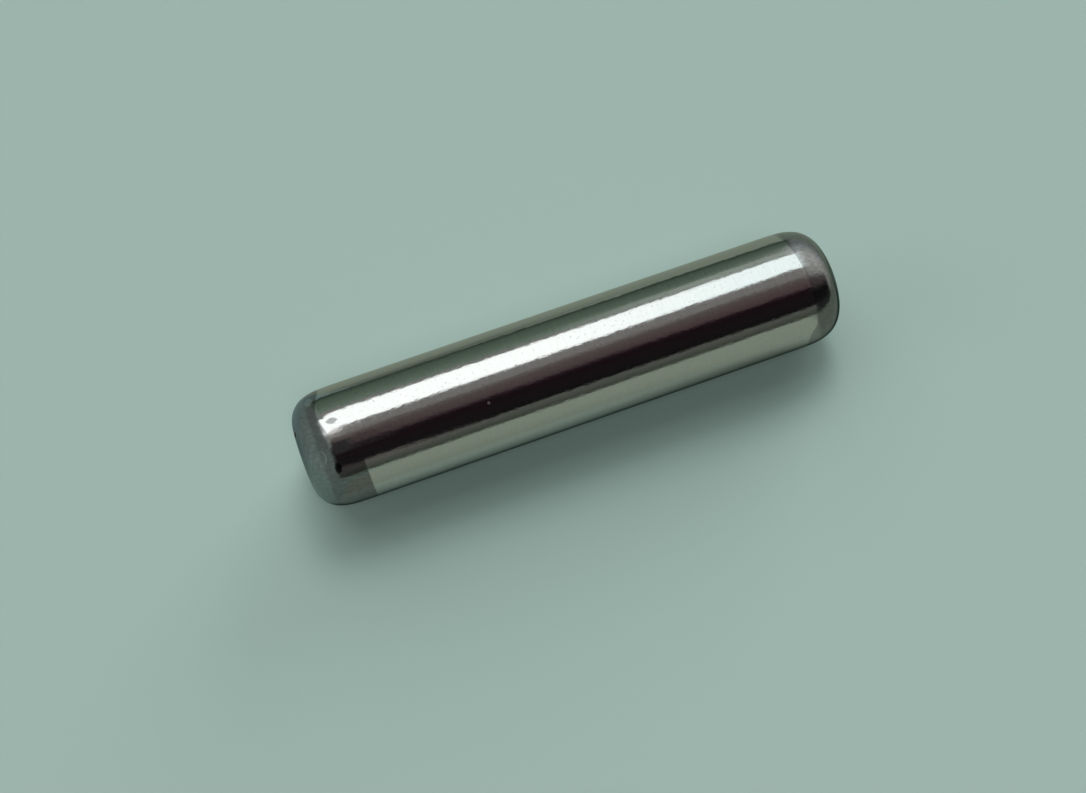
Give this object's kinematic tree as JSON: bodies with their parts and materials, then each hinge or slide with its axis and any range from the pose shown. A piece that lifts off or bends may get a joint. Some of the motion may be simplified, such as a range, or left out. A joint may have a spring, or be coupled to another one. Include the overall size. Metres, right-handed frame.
{
  "type": "dowel pin",
  "caption": "Straight ground steel cylinder with tapered, rounded ends and flat end faces; pressed into matching holes, it locates two parts on each other.",
  "frame": {"origin": "centre of the lower end face, on which the pin stands", "axes": "+Z runs along the pin's axis from the lower end face to the upper one; the pin is round, so X and Y are free"},
  "size_m": [0.006, 0.006, 0.028],
  "materials": {
    "steel": "ground and polished barrel, dull satin ends"
  },
  "bodies": {
    "root": {"pin": "steel"}
  },
  "joints": []
}
